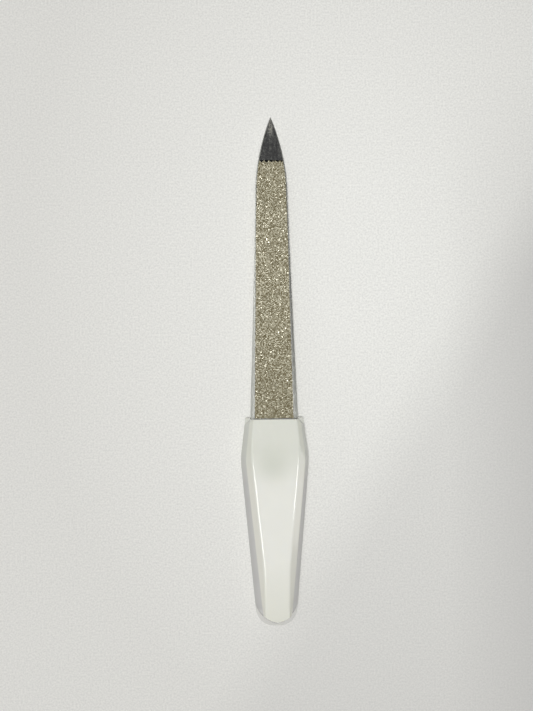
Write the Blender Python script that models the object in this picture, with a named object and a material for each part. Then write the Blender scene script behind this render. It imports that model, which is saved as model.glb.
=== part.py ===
"""Diamond nail file.

A bevelled steel blade carries a grit coat on each face, and its tang is held in a faceted plastic
handle by a post that passes through the tang's anchor hole.

Metres, +Z up. The file lies on the back of its handle with the tip towards +Y, and the origin is under
the middle of its box. Every piece is modelled about the handle's mouth, at mid thickness.
"""
from math import cos, pi, radians, sin

import bmesh
import bpy

# Driving sizes of the whole file
OVERALL_LENGTH = 0.130
HANDLE_LENGTH = 0.0527

# Blade, from the tip to the handle's mouth
BLADE_THICKNESS = 0.0010
TIP_WIDTH = 0.0005
SHOULDER_FROM_TIP = 0.0200
SHOULDER_WIDTH = 0.0084
HEEL_WIDTH = 0.01232
OGIVE_SHARE = 2.0
TAPER_SHARE = 1.12

# Bevels along the blade's long edges, which widen towards the handle at one slope
FINE_BEVEL_RUN = 0.0002
HEEL_BEVEL_RUN = 0.0010
HEEL_BEVEL_DROP = 0.0003
BEVEL_WIDENS_FROM_TIP = 0.0300

# Heel and tang, inside the handle
HEEL_DEPTH = 0.0015
HEEL_SHOULDER_DEPTH = 0.0030
TANG_LENGTH = 0.0150
TANG_WIDTH = 0.0070
TANG_CORNER = 0.0010
ANCHOR_HOLE_DIAMETER = 0.0030
ANCHOR_HOLE_DEPTH = 0.0065

# Grit coats
BARE_TIP_LENGTH = 0.0110
COAT_THICKNESS = 0.00015
COAT_BOND_GAP = 0.00005
COAT_EDGE_INSET = 0.00004
COAT_TOP_INSET = 0.00006
COAT_TO_HANDLE_GAP = 0.00025

# Handle in plan, with the web that goes all round it at mid thickness
CHEEK_WALL = 0.0013
SIDES_CROSSING_WIDTH = 0.0176
TAIL_WIDTH = 0.0111
WIDEST_FROM_MOUTH = 0.0101
WIDEST_BLEND = 0.0022
TAIL_DEPTH = 0.0052
TAIL_ROUNDNESS_SHARE = 2.7
MOUTH_CORNER_RADIUS = 0.0008

# Handle across its thickness
HANDLE_THICKNESS = 0.0052
MOUTH_COVER = 0.0015
WEB_SKIN = 0.0002
WEB_LEDGE = 0.0001

# Facets along the sides: a steep outer band, then a shallower inner facet up to the table
BAND_MOUTH_RUN = 0.00120
BAND_TAIL_RUN = 0.00165
BAND_RISE_SHARE = 0.65
FACET_MOUTH_RUN = 0.00085
FACET_RUN = 0.00175
FACET_OPENING_SHARE = 2.5
TABLE_TAIL_WIDTH = 0.0060

# Cuts across the mouth's corners, at the web, at the band's top and at the table
MOUTH_CUT_WIDTH = 0.00135
MOUTH_CUT_DEPTH = 0.00125
BAND_CUT_WIDTH = 0.00045
BAND_CUT_DEPTH = 0.00050
TABLE_CUT_WIDTH = 0.00020
TABLE_CUT_DEPTH = 0.00030

# Pointed arch that ends the facets at the tail, and the runs of its steep wall
TAIL_LEDGE = 0.0008
ARCH_WIDTH = 0.0152
ARCH_DEPTH = 0.0089
ARCH_SHARE = 2.0
WALL_BAND_RUN = 0.0002
WALL_TABLE_RUN = 0.0004
CREASE_SHARE = 40.0

# Fit of the tang in its slot
TANG_CLEARANCE = 0.0002
CUT_OVERRUN = 0.0020

# Facet counts, and the angle past which an edge between facets is sharp
OGIVE_STEPS = 16
BLADE_TAPER_STEPS = 12
HOLE_SEGMENTS = 32
CORNER_STEPS = 5
BLEND_STEPS = 4
HANDLE_TAPER_STEPS = 10
TAIL_STEPS = 12
HALVINGS = 30
SHARP_ANGLE_DEGREES = 12

# Worked out from the sizes above
EXPOSED_LENGTH = OVERALL_LENGTH - HANDLE_LENGTH
MOUTH_Y = OVERALL_LENGTH / 2 - EXPOSED_LENGTH
MOUTH_WIDTH = HEEL_WIDTH + 2 * CHEEK_WALL
MOUTH_THICKNESS = BLADE_THICKNESS + 2 * MOUTH_COVER
EDGE_HALF_THICKNESS = BLADE_THICKNESS / 2 - HEEL_BEVEL_DROP
WEB_HALF_THICKNESS = EDGE_HALF_THICKNESS + TANG_CLEARANCE + WEB_SKIN
TAIL_START = HANDLE_LENGTH - TAIL_DEPTH
ARCH_START = HANDLE_LENGTH - TAIL_LEDGE - ARCH_DEPTH

# Colours as seen, each channel from 0 to 255
STEEL_COLOUR = (178, 178, 174)
GRIT_COLOUR = (156, 150, 127)
PLASTIC_COLOUR = (229, 229, 221)


def clear_scene():
    """Remove whatever the file opened with."""
    for thing in list(bpy.data.objects):
        bpy.data.objects.remove(thing, do_unlink=True)


def linear(colour):
    """The scene-linear colour of a seen one."""
    shares = [channel / 255 for channel in colour]
    return [s / 12.92 if s <= 0.04045 else ((s + 0.055) / 1.055) ** 2.4 for s in shares]


def make_material(name, colour, roughness, metallic):
    """A plain material with the piece's colour, gloss and metal share."""
    material = bpy.data.materials.new(name)
    material.use_nodes = True
    shader = material.node_tree.nodes["Principled BSDF"]
    shader.inputs["Base Color"].default_value = (*linear(colour), 1)
    shader.inputs["Roughness"].default_value = roughness
    shader.inputs["Metallic"].default_value = metallic
    return material


def steel():
    """Polished stainless steel."""
    return make_material("polished_steel", STEEL_COLOUR, roughness=0.25, metallic=1)


def grit(name):
    """Diamond grains in a plated layer."""
    return make_material(name, GRIT_COLOUR, roughness=0.6, metallic=0.7)


def plastic():
    """Glossy white plastic."""
    return make_material("white_plastic", PLASTIC_COLOUR, roughness=0.2, metallic=0)


def link(name, mesh, material):
    """An object of a mesh, at the datum that all the pieces share."""
    mesh.materials.append(material)
    thing = bpy.data.objects.new(name, mesh)
    thing.parent = bpy.data.objects["mouth_datum"]
    bpy.context.collection.objects.link(thing)
    return thing


def hide_cutter(cutter):
    """Keep a cutter out of the model."""
    cutter.hide_render = True
    cutter.display_type = "WIRE"


def cut(thing, cutter):
    """Take a cutter's shape out of a piece."""
    hide_cutter(cutter)
    modifier = thing.modifiers.new(cutter.name, "BOOLEAN")
    modifier.operation = "DIFFERENCE"
    modifier.solver = "EXACT"
    modifier.object = cutter


def loft(name, rings):
    """A closed mesh through rings of equally many points, with a flat cap on its two ends."""
    shape = bmesh.new()
    loops = [[shape.verts.new(point) for point in ring] for ring in rings]
    for first, second in zip(loops, loops[1:]):
        for i in range(len(first)):
            j = (i + 1) % len(first)
            shape.faces.new((first[i], first[j], second[j], second[i]))
    shape.faces.new(loops[0])
    shape.faces.new(loops[-1])
    return finish_mesh(name, shape)


def finish_mesh(name, shape):
    """The mesh of a closed shape, its faces turned outwards and its round stretches smooth."""
    bmesh.ops.recalc_face_normals(shape, faces=shape.faces)
    mesh = bpy.data.meshes.new(name)
    shape.to_mesh(mesh)
    shape.free()
    mesh.shade_smooth()
    mesh.set_sharp_from_angle(angle=radians(SHARP_ANGLE_DEGREES))
    return mesh


def evenly(first, last, steps):
    """Places from the first to just before the last."""
    return [first + (last - first) * i / steps for i in range(steps)]


def blade_half_width(from_tip):
    """Half the blade's width: a pointed arch to the shoulder, then a taper that opens to the heel."""
    if from_tip < SHOULDER_FROM_TIP:
        opening = 1 - (1 - from_tip / SHOULDER_FROM_TIP) ** OGIVE_SHARE
        return (TIP_WIDTH + (SHOULDER_WIDTH - TIP_WIDTH) * opening) / 2
    opening = ((from_tip - SHOULDER_FROM_TIP) / (EXPOSED_LENGTH - SHOULDER_FROM_TIP)) ** TAPER_SHARE
    return (SHOULDER_WIDTH + (HEEL_WIDTH - SHOULDER_WIDTH) * opening) / 2


def bevel_run(from_tip):
    """The bevel's width in plan, fine along the tip and then wider towards the heel."""
    widening = (from_tip - BEVEL_WIDENS_FROM_TIP) / (EXPOSED_LENGTH - BEVEL_WIDENS_FROM_TIP)
    return FINE_BEVEL_RUN + (HEEL_BEVEL_RUN - FINE_BEVEL_RUN) * max(widening, 0)


def blade_stations():
    """Distances from the tip, close together at the point and even along the taper."""
    arch = [SHOULDER_FROM_TIP * (1 - cos(pi / 2 * i / OGIVE_STEPS)) for i in range(OGIVE_STEPS)]
    taper = evenly(SHOULDER_FROM_TIP, EXPOSED_LENGTH, BLADE_TAPER_STEPS)
    return arch + taper + [EXPOSED_LENGTH]


def blade_section(y, half_width, run, grow=0):
    """The six-sided section of the strip, its two thin edges standing, grown by a clearance."""
    flat = half_width - run + grow
    outer = half_width + grow
    height = BLADE_THICKNESS / 2 + grow
    edge = height - run * HEEL_BEVEL_DROP / HEEL_BEVEL_RUN
    quarter = [(outer, edge), (flat, height), (-flat, height), (-outer, edge)]
    return [(x, y, z) for x, z in quarter] + [(-x, y, -z) for x, z in quarter]


def tang_sections(grow=0):
    """Sections from the heel to the tang's end, behind the mouth."""
    tang_half_width = TANG_WIDTH / 2
    places = [
        (HEEL_DEPTH, HEEL_WIDTH / 2, HEEL_BEVEL_RUN),
        (HEEL_SHOULDER_DEPTH, tang_half_width, FINE_BEVEL_RUN),
        (TANG_LENGTH - TANG_CORNER, tang_half_width, FINE_BEVEL_RUN),
        (TANG_LENGTH, tang_half_width - TANG_CORNER, FINE_BEVEL_RUN),
    ]
    return [blade_section(-depth - grow, half, run, grow) for depth, half, run in places]


def anchor_cylinder(name, diameter, material):
    """An upright cylinder at the tang's anchor hole."""
    shape = bmesh.new()
    bmesh.ops.create_cone(
        shape,
        cap_ends=True,
        segments=HOLE_SEGMENTS,
        radius1=diameter / 2,
        radius2=diameter / 2,
        depth=HANDLE_THICKNESS,
    )
    bmesh.ops.translate(shape, verts=shape.verts, vec=(0, -ANCHOR_HOLE_DEPTH, 0))
    return link(name, finish_mesh(name, shape), material)


def build_blade(material):
    """The steel strip with its point, bevels, heel and tang."""
    exposed = [
        blade_section(EXPOSED_LENGTH - from_tip, blade_half_width(from_tip), bevel_run(from_tip))
        for from_tip in blade_stations()
    ]
    blade = link("blade", loft("blade", exposed + tang_sections()), material)
    cut(blade, anchor_cylinder("anchor_hole_cutter", ANCHOR_HOLE_DIAMETER, material))
    return blade


def build_coat(name, face, material):
    """The grit on one face of the blade, 1 for the front and -1 for the back."""
    coat_end = EXPOSED_LENGTH - COAT_TO_HANDLE_GAP
    between = [from_tip for from_tip in blade_stations() if BARE_TIP_LENGTH < from_tip < coat_end]
    low = face * (BLADE_THICKNESS / 2 + COAT_BOND_GAP)
    high = low + face * COAT_THICKNESS
    rings = []
    for from_tip in [BARE_TIP_LENGTH, *between, coat_end]:
        half = blade_half_width(from_tip) - bevel_run(from_tip) - COAT_EDGE_INSET
        top = half - COAT_TOP_INSET
        y = EXPOSED_LENGTH - from_tip
        rings.append([(half, y, low), (top, y, high), (-top, y, high), (-half, y, low)])
    return link(name, loft(name, rings), material)


def past_widest(depth):
    """How far a depth lies past the widest line, with the start rounded over the blend."""
    reach = depth - WIDEST_FROM_MOUTH + WIDEST_BLEND
    if reach <= 0:
        return 0
    if reach < 2 * WIDEST_BLEND:
        return reach ** 2 / (4 * WIDEST_BLEND)
    return depth - WIDEST_FROM_MOUTH


def side_half_width(depth):
    """Half the handle's width between its straight sides, which cross at the widest line."""
    opening = (SIDES_CROSSING_WIDTH - MOUTH_WIDTH) / 2 / WIDEST_FROM_MOUTH
    closing = (SIDES_CROSSING_WIDTH - TAIL_WIDTH) / 2 / (TAIL_START - WIDEST_FROM_MOUTH)
    past = past_widest(depth)
    return MOUTH_WIDTH / 2 + opening * (depth - past) - closing * past


def foot_half_width(depth):
    """Half the width where the outer band meets the web, which stands proud by its ledge."""
    return side_half_width(depth) - WEB_LEDGE


def band_half_width(depth):
    """Half the width where the outer band meets the inner facet."""
    run = BAND_MOUTH_RUN + (BAND_TAIL_RUN - BAND_MOUTH_RUN) * depth / TAIL_START
    return side_half_width(depth) - run


def table_half_width(depth):
    """Half the width of the table, which follows the band and then keeps its width towards the tail."""
    opening = ((depth - past_widest(depth)) / WIDEST_FROM_MOUTH) ** FACET_OPENING_SHARE
    run = FACET_MOUTH_RUN + (FACET_RUN - FACET_MOUTH_RUN) * opening
    return creased_maximum(band_half_width(depth) - run, TABLE_TAIL_WIDTH / 2)


def creased_maximum(first, second):
    """The larger of two lengths, with a slight rounding where they cross."""
    small, large = sorted((first, second))
    return large * (1 + (small / large) ** CREASE_SHARE) ** (1 / CREASE_SHARE)


def arch_half_width(depth, wall_run):
    """Half the width of the pointed arch that ends a facet line, its wall leaning in by a run."""
    along = (depth - ARCH_START) / (ARCH_DEPTH - wall_run)
    return ARCH_WIDTH / 2 * (1 - along ** ARCH_SHARE)


def arch_corner(half_width, wall_run):
    """The depth where a facet line's side meets its arch, found by halving."""
    before, after = ARCH_START, HANDLE_LENGTH
    for _ in range(HALVINGS):
        middle = (before + after) / 2
        if arch_half_width(middle, wall_run) > half_width(middle):
            before = middle
        else:
            after = middle
    return before


def table_height(depth):
    """Height of the table over mid thickness: a slope up from the mouth, level past the widest line."""
    rise = (HANDLE_THICKNESS - MOUTH_THICKNESS) / 2 / WIDEST_FROM_MOUTH
    return MOUTH_THICKNESS / 2 + rise * (depth - past_widest(depth))


def band_height(depth):
    """Height of the line where the steep outer band meets the inner facet."""
    return WEB_HALF_THICKNESS + (table_height(depth) - WEB_HALF_THICKNESS) * BAND_RISE_SHARE


def web_height(depth):
    """Height of the web's face, the same at every depth."""
    return WEB_HALF_THICKNESS


def side_depths(tail_start):
    """Depths of the points along one side, from the widest line's blend to where its tail begins."""
    blend_start = WIDEST_FROM_MOUTH - WIDEST_BLEND
    blend_end = WIDEST_FROM_MOUTH + WIDEST_BLEND
    return evenly(blend_start, blend_end, BLEND_STEPS) + evenly(blend_end, tail_start, HANDLE_TAPER_STEPS)


def web_outline():
    """The web's side from mouth to end: a rounded corner, the straight sides and a rounded tail."""
    points = []
    for i in range(CORNER_STEPS + 1):
        angle = pi / 2 * i / CORNER_STEPS
        depth = MOUTH_CORNER_RADIUS * (1 - cos(angle))
        trim = MOUTH_CORNER_RADIUS * (1 - sin(angle))
        points.append((side_half_width(depth) - trim, depth))
    points += [(side_half_width(depth), depth) for depth in side_depths(TAIL_START)]
    for i in range(TAIL_STEPS + 1):
        angle = pi / 2 * i / TAIL_STEPS
        depth = TAIL_START + TAIL_DEPTH * sin(angle) ** (2 / TAIL_ROUNDNESS_SHARE)
        narrowing = max(cos(angle), 0) ** (2 / TAIL_ROUNDNESS_SHARE)
        points.append((side_half_width(depth) * narrowing, depth))
    return points


def facet_outline(half_width, mouth_cut_width, mouth_cut_depth, wall_run):
    """The side of a facet line: a straight cut across the mouth's corner, its side and a pointed arch."""
    points = []
    cut_start = half_width(WEB_LEDGE) - mouth_cut_width
    cut_end = half_width(mouth_cut_depth)
    for i in range(CORNER_STEPS + 1):
        share = i / CORNER_STEPS
        depth = WEB_LEDGE + (mouth_cut_depth - WEB_LEDGE) * share
        points.append((cut_start + (cut_end - cut_start) * share, depth))
    corner = arch_corner(half_width, wall_run)
    apex = ARCH_START + ARCH_DEPTH - wall_run
    points += [(half_width(depth), depth) for depth in side_depths(corner)]
    points += [(arch_half_width(depth, wall_run), depth) for depth in evenly(corner, apex, TAIL_STEPS)]
    points.append((0, apex))
    return points


def ring_of(outline, height, face):
    """A closed ring through one side's outline, its end point and its mirror image."""
    right = [(x, -depth, face * height(depth)) for x, depth in outline]
    left = [(-x, y, z) for x, y, z in reversed(right[:-1])]
    return right + left


def handle_rings():
    """The handle's rings from its back table through the web to its front table."""
    foot_outline = facet_outline(foot_half_width, MOUTH_CUT_WIDTH, MOUTH_CUT_DEPTH, 0)
    band_outline = facet_outline(band_half_width, BAND_CUT_WIDTH, BAND_CUT_DEPTH, WALL_BAND_RUN)
    table_outline = facet_outline(table_half_width, TABLE_CUT_WIDTH, TABLE_CUT_DEPTH, WALL_TABLE_RUN)
    levels = [
        (web_outline(), web_height),
        (foot_outline, web_height),
        (band_outline, band_height),
        (table_outline, table_height),
    ]
    back = [ring_of(outline, height, -1) for outline, height in reversed(levels)]
    front = [ring_of(outline, height, 1) for outline, height in levels]
    return back + front


def build_handle(material):
    """The faceted moulding, with a slot for the tang and a post left standing in the anchor hole."""
    rings = handle_rings()
    shape = bmesh.new()
    loops = [[shape.verts.new(point) for point in ring] for ring in rings]
    count = len(rings[0])
    for first, second in zip(loops, loops[1:]):
        for i in range(count):
            j = (i + 1) % count
            shape.faces.new((first[i], first[j], second[j], second[i]))
    for table in (loops[0], loops[-1]):
        for i in range(count // 2):
            strip = (table[i], table[i + 1], table[-i - 2], table[-i - 1])
            shape.faces.new(dict.fromkeys(strip))
    handle = link("handle", finish_mesh("handle", shape), material)
    cut(handle, build_slot_cutter(material))
    return handle


def build_slot_cutter(material):
    """The tang's shape grown by its clearance, with the anchor post's place left out."""
    mouth = [blade_section(y, HEEL_WIDTH / 2, HEEL_BEVEL_RUN, TANG_CLEARANCE) for y in (CUT_OVERRUN, 0)]
    slot = link("slot_cutter", loft("slot_cutter", mouth + tang_sections(TANG_CLEARANCE)), material)
    post_diameter = ANCHOR_HOLE_DIAMETER - 2 * TANG_CLEARANCE
    cut(slot, anchor_cylinder("anchor_post_cutter", post_diameter, material))
    return slot


def build_datum():
    """The empty that carries every piece, at the handle's mouth and at mid thickness."""
    datum = bpy.data.objects.new("mouth_datum", None)
    datum.location = (0, MOUTH_Y, HANDLE_THICKNESS / 2)
    bpy.context.collection.objects.link(datum)


def build_file():
    """Build every piece of the nail file."""
    clear_scene()
    build_datum()
    build_blade(steel())
    build_coat("grit_front", 1, grit("front_grit"))
    build_coat("grit_back", -1, grit("back_grit"))
    build_handle(plastic())


build_file()
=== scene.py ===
"""Looks of a diamond nail file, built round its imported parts.

A polished steel blade carries a coat of diamond grains on each face, and its tang sits in a faceted
milky plastic handle. Metres, +Z up, tip towards +Y. The file lies on a sheet of pale paper and is
seen from straight above.
"""
import logging
from collections.abc import Callable
from dataclasses import dataclass
from enum import Enum
from math import cos, pi, radians, sin, tan

import bmesh
import bpy
import numpy as np
from mathutils import Matrix, Vector


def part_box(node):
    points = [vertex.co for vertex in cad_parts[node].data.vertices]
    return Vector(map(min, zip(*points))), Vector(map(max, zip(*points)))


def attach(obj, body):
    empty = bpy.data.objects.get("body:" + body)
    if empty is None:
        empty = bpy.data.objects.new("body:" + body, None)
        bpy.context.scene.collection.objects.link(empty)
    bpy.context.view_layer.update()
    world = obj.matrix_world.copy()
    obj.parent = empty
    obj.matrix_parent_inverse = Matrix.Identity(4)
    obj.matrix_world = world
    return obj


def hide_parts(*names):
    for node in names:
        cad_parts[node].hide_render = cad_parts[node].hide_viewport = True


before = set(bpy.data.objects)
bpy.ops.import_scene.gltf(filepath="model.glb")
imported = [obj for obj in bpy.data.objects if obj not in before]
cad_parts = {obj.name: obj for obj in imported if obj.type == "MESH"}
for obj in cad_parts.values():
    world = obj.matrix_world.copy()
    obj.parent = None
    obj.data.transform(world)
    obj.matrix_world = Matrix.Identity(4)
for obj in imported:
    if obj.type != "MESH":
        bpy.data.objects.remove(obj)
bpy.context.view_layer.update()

log = logging.getLogger("nail_file")
BODY = "root"
MILLIMETRE = 0.001
GRIT_NAMES = ("front_diamond_grit", "back_diamond_grit")
LIGHT_COLOUR = (1.0, 1.0, 0.992)

Array = np.ndarray
Generator = np.random.Generator
Thing = bpy.types.Object
Material = bpy.types.Material
Socket = bpy.types.NodeSocket
Colour = tuple[float, float, float, float]


class Face(Enum):
    """The two faces of the file, each with the sign of its side of mid thickness."""

    FRONT = 1
    BACK = -1


class Joining(Enum):
    """How one closed object changes another."""

    CUT = "DIFFERENCE"
    JOIN = "UNION"


@dataclass(frozen=True)
class Datum:
    """The handle's mouth at mid thickness, which every piece is measured from.

    Depths run from the mouth into the handle, and reaches from the mouth to the tip.
    """

    mouth_y: float
    middle_z: float
    tip_y: float
    tail_y: float

    @classmethod
    def of_packed_parts(cls) -> "Datum":
        """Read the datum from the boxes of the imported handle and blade.

        Returns:
            The datum.
        """
        handle_low, handle_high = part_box("handle")
        _, blade_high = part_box("blade")
        return cls(handle_high.y, (handle_low.z + handle_high.z) / 2, blade_high.y, handle_low.y)

    @property
    def reach(self) -> float:
        """Length of the blade that shows."""
        return self.tip_y - self.mouth_y

    @property
    def handle_length(self) -> float:
        """Length of the handle."""
        return self.mouth_y - self.tail_y

    def place(self, points: Array) -> Array:
        """Move points that are measured from the mouth to their place in the frame."""
        return points + np.array([0.0, self.mouth_y, self.middle_z])


def seen(*channels: int) -> Colour:
    """Turn a seen colour into a scene-linear one, with an alpha of one.

    Args:
        *channels: Its red, green and blue, from 0 to 255.

    Returns:
        The four linear channels.
    """
    shares = np.array(channels) / 255
    linear = np.where(shares <= 0.04045, shares / 12.92, ((shares + 0.055) / 1.055) ** 2.4)
    return (*linear.tolist(), 1.0)


def unit(vectors: Array) -> Array:
    """Scale vectors to length one, along the last axis."""
    return vectors / np.maximum(np.linalg.norm(vectors, axis=-1, keepdims=True), 1e-12)


def rounded_profiles(corners: Array, cuts: Array, steps: int, most_share: float = 0.45) -> Array:
    """Round the inner corners of many profiles at once.

    Each inner corner becomes a quadratic curve that leaves its two sides a cut's length away and
    bends towards the corner: start times (1 - t) squared, plus corner times 2t(1 - t), plus end
    times t squared.

    Args:
        corners: Profiles of corner points, shaped (profiles, corners, 3).
        cuts: One length for each inner corner, or one row of them for each profile.
        steps: Spans in each rounded corner.
        most_share: The most of a side that one cut takes.

    Returns:
        The rounded profiles, shaped (profiles, points, 3).
    """
    here = corners[:, 1:-1]
    sides = np.stack([corners[:, :-2] - here, corners[:, 2:] - here])
    shortest = np.linalg.norm(sides, axis=-1, keepdims=True).min(axis=0)
    cut = np.minimum(np.broadcast_to(cuts, here.shape[:2])[..., None], most_share * shortest)
    start, end = (here + unit(sides) * cut)[:, :, :, None]
    t = np.linspace(0, 1, steps + 1)[:, None]
    curve = (1 - t) ** 2 * start + 2 * t * (1 - t) * here[:, :, None] + t ** 2 * end
    return np.concatenate([corners[:, :1], curve.reshape(len(corners), -1, 3), corners[:, -1:]], axis=1)


def cell_corners(grid: Array) -> Array:
    """The four corners of each cell of a grid of numbers or points, in order round the cell."""
    return np.stack([grid[:-1, :-1], grid[:-1, 1:], grid[1:, 1:], grid[1:, :-1]], axis=2)


def sheet_quads(numbers: Array) -> list[list[int]]:
    """Quads between the neighbouring entries of an open grid of point numbers."""
    return cell_corners(numbers).reshape(-1, 4).tolist()


def ring_quads(near: Array, far: Array) -> list[list[int]]:
    """Quads between rings of point numbers, which run along the last axis, and those beside them."""
    corners = [near, np.roll(near, -1, axis=-1), np.roll(far, -1, axis=-1), far]
    return np.stack(corners, axis=-1).reshape(-1, 4).tolist()


def point_numbers(points: Array, first: int = 0) -> Array:
    """Number a grid of points row by row, in the grid's own shape."""
    return first + np.arange(points[..., 0].size).reshape(points.shape[:-1])


def raised(plan: Array, height: Array | float) -> Array:
    """Lift points in plan, given by x and depth, to a height."""
    return np.column_stack([plan[:, 0], -plan[:, 1], np.broadcast_to(height, len(plan))])


def sections(corners: list, y: Array) -> Array:
    """Sections along Y, from arrays of each corner's x and z, shaped (sections, corners, 3)."""
    return np.stack([np.column_stack([x, y, z]) for x, z in corners], axis=1)


def wander(places: Array, wavelength: float, rng: Generator, waves: int = 7) -> Array:
    """A smooth uneven value of about -1 to 1 along a line.

    It is the sum of sine waves with random phases, over the root of their number. Their lengths
    lie between half the given one and twice it.

    Args:
        places: Positions along the line.
        wavelength: The middle wavelength.
        rng: The source of the phases.
        waves: How many waves are added.

    Returns:
        One value for each place.
    """
    lengths = wavelength * 2.0 ** rng.uniform(-1, 1, waves)
    phases = rng.uniform(0, 2 * pi, waves)
    return np.sin(2 * pi * places[..., None] / lengths + phases).sum(axis=-1) / np.sqrt(waves)


def new_object(name: str, points: Array, faces: list, closed: bool = True) -> Thing:
    """Put a new mesh in the scene, with its object at the origin.

    Args:
        name: The object's name and the mesh's.
        points: The mesh's points, three numbers each along the last axis.
        faces: Its faces as lists of point numbers.
        closed: Whether the faces close, and are all turned outwards.

    Returns:
        The object.
    """
    mesh = bpy.data.meshes.new(name)
    mesh.from_pydata(points.reshape(-1, 3).tolist(), [], faces)
    if closed:
        shape = bmesh.new()
        shape.from_mesh(mesh)
        bmesh.ops.recalc_face_normals(shape, faces=shape.faces)
        shape.to_mesh(mesh)
        shape.free()
        mesh.validate()
    thing = bpy.data.objects.new(name, mesh)
    bpy.context.scene.collection.objects.link(thing)
    return thing


def lofted(name: str, rings: Array) -> Thing:
    """Make a closed object through rings of points, with a flat cap on its first and last ring.

    Args:
        name: The object's name.
        rings: The rings, shaped (rings, points, 3).

    Returns:
        The object.
    """
    numbers = point_numbers(rings)
    return new_object(name, rings, ring_quads(numbers[:-1], numbers[1:]) + numbers[[0, -1]].tolist())


def prism(name: str, plan: Array, datum: Datum, low: float, high: float) -> Thing:
    """Make a closed upright prism.

    Args:
        name: The object's name.
        plan: Its outline in plan, measured from the mouth, shaped (points, 2).
        datum: The mouth's place.
        low: The height of its foot over mid thickness.
        high: The height of its top.

    Returns:
        The object.
    """
    rings = [np.column_stack([plan, np.full(len(plan), height)]) for height in (low, high)]
    return lofted(name, datum.place(np.stack(rings)))


def apply_modifiers(thing: Thing) -> None:
    """Replace an object's mesh by what its modifiers make of it.

    Args:
        thing: The object, which is left without modifiers.
    """
    mesh = bpy.data.meshes.new_from_object(thing.evaluated_get(bpy.context.evaluated_depsgraph_get()))
    old, thing.data = thing.data, mesh
    thing.modifiers.clear()
    bpy.data.meshes.remove(old)


def combine(thing: Thing, other: Thing, joining: Joining) -> None:
    """Change one closed object by another, and delete the other.

    Args:
        thing: The object that is changed.
        other: The object that is cut out or joined on.
        joining: Which of the two happens.
    """
    modifier = thing.modifiers.new("combine", "BOOLEAN")
    modifier.operation, modifier.solver, modifier.object = joining.value, "EXACT", other
    apply_modifiers(thing)
    bpy.data.objects.remove(other, do_unlink=True)


def store(thing: Thing, name: str, values: Array, domain: str = "POINT") -> None:
    """Keep a value for each point or face of an object, as an attribute of its mesh."""
    attribute = thing.data.attributes.new(name, "FLOAT", domain)
    attribute.data.foreach_set("value", values.astype(np.float32))


def read(items: bpy.types.bpy_prop_collection, name: str, width: int, kind: type = np.float32) -> Array:
    """Read a property of all of a mesh's points, corners or faces.

    Args:
        items: The points, corners or faces.
        name: The property's name.
        width: How many numbers it has.
        kind: The numbers' type.

    Returns:
        Its values, shaped (items, width).
    """
    values = np.zeros(len(items) * width, kind)
    items.foreach_get(name, values)
    return values.reshape(-1, width)


def shade(thing: Thing, sharp_angle: float, full_angle: float = radians(9)) -> None:
    """Shade an object smooth, let its broad flats set the normals, and store where it bends.

    The point attribute named edge is the largest angle between a point's normal and the normals
    of the faces round it, as a share of the angle that counts as a full edge.

    Args:
        thing: The object.
        sharp_angle: The angle in radians past which an edge stays sharp.
        full_angle: The angle in radians that gives a value of one.
    """
    thing.data.shade_smooth()
    thing.data.set_sharp_from_angle(angle=sharp_angle)
    thing.modifiers.new("flats", "WEIGHTED_NORMAL").keep_sharp = True
    apply_modifiers(thing)
    mesh = thing.data
    corner_points = read(mesh.loops, "vertex_index", 1, np.int32)[:, 0]
    face_sizes = read(mesh.polygons, "loop_total", 1, np.int32)[:, 0]
    around = np.repeat(read(mesh.polygons, "normal", 3), face_sizes, axis=0)
    own = read(mesh.vertices, "normal", 3)[corner_points]
    bend = np.arccos(np.clip((around * own).sum(axis=1), -1, 1))
    edge = np.zeros(len(mesh.vertices))
    np.maximum.at(edge, corner_points, bend / full_angle)
    store(thing, "edge", np.clip(edge, 0, 1))


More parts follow.
